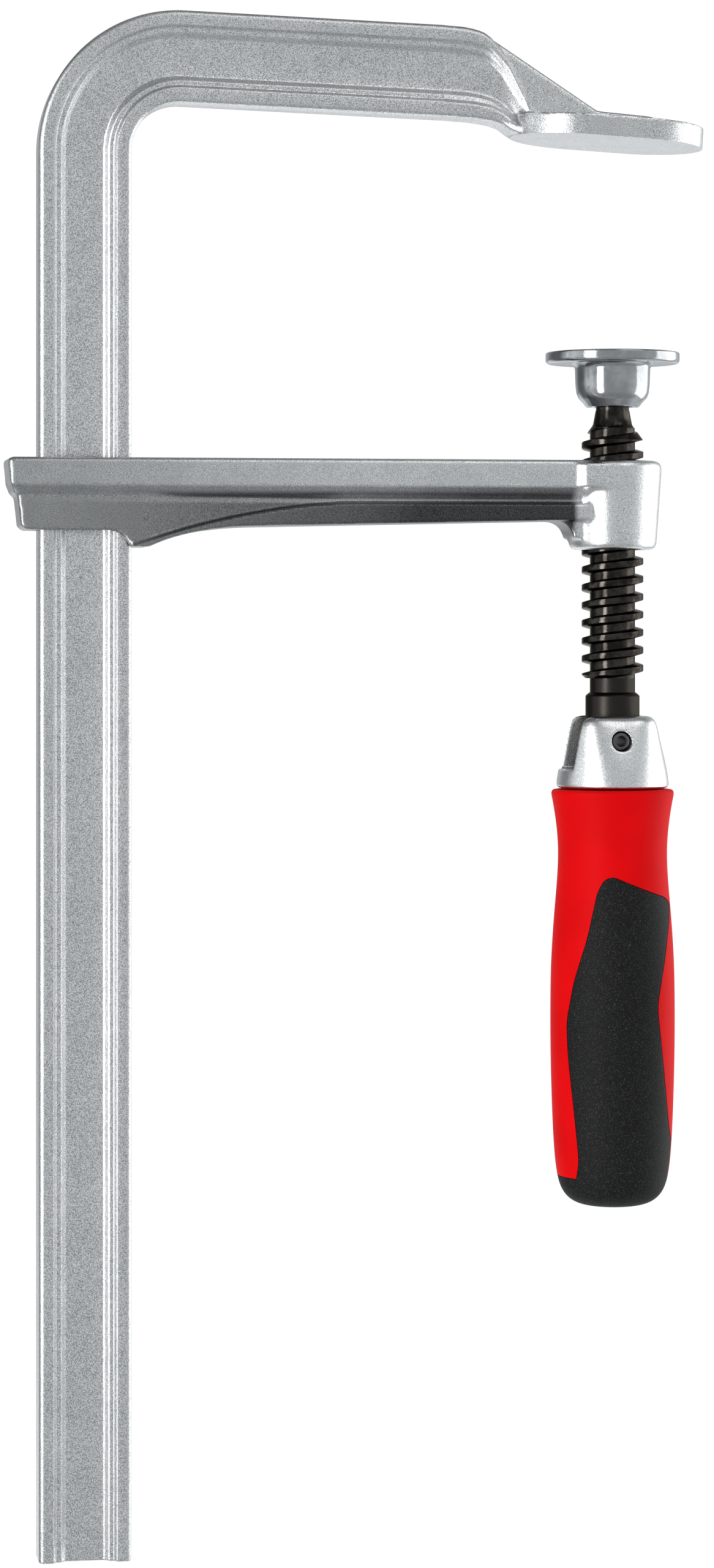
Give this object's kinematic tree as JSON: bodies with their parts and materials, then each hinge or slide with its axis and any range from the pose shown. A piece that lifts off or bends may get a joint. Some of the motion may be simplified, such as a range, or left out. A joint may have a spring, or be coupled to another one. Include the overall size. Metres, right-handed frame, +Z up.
{
  "type": "f clamp",
  "caption": "Forged steel F clamp: a bent bar with a fixed jaw, a sliding arm with a screw, a swivel pressure plate and a folding two-colour handle.",
  "frame": {"origin": "middle of the fixed jaw's flat face, on the screw's axis", "axes": "+Z up along the bar, from the bar's open end to the fixed jaw; +X from the bar to the screw; -Y is the side seen in front"},
  "size_m": [0.1728, 0.034, 0.3764],
  "materials": {
    "zinc_forging": "zinc-plated drop forging with a fine blasted grain",
    "satin_forging": "zinc-plated drop forging, duller and greyer than the bar",
    "polished_zinc": "turned and bright zinc plated",
    "blackened_steel": "rolled thread, black oxide and oil",
    "spring_steel": "dark spring steel",
    "bright_casting": "bright plated casting with a coarse grain",
    "red_plastic": "red moulded plastic with a fine leathery grain",
    "black_soft_coat": "black soft-touch moulding with a fine matt grain"
  },
  "bodies": {
    "bar": {"fixed_bar": "zinc_forging"},
    "arm": {"sliding_arm": "satin_forging"},
    "carrier": {"snap_ring": "spring_steel"},
    "screw": {"spindle": "blackened_steel"},
    "plate": {"pressure_plate": "polished_zinc"},
    "handle": {"handle_yoke": "bright_casting", "pivot_pin": "spring_steel", "grip_core": "red_plastic", "grip_coat": "black_soft_coat"}
  },
  "joints": [
    {"name": "arm_slide", "type": "slide", "parent": "bar", "child": "arm", "axis": [0, 0, 1], "range_m": [-0.245, 0.016]},
    {"name": "screw_feed", "type": "slide", "parent": "arm", "child": "carrier", "axis": [0, 0, 1], "range_m": [-0.0116, 0.0301]},
    {"name": "screw_turn", "type": "hinge", "parent": "carrier", "child": "screw", "pos_m": [0, 0, -0.06], "axis": [0, 0, 1], "range_deg": [-940, 2454]},
    {"name": "plate_tilt", "type": "hinge", "parent": "carrier", "child": "plate", "pos_m": [0, 0, -0.06], "axis": [0, 1, 0], "range_deg": [-7, 7]},
    {"name": "handle_tilt", "type": "hinge", "parent": "screw", "child": "handle", "pos_m": [0, 0, -0.1476], "axis": [0, 1, 0], "range_deg": [0, 90]}
  ],
  "couplings": [
    {"joint": "screw_feed", "follows": "screw_turn", "m_per_rad": 0.00070028}
  ]
}
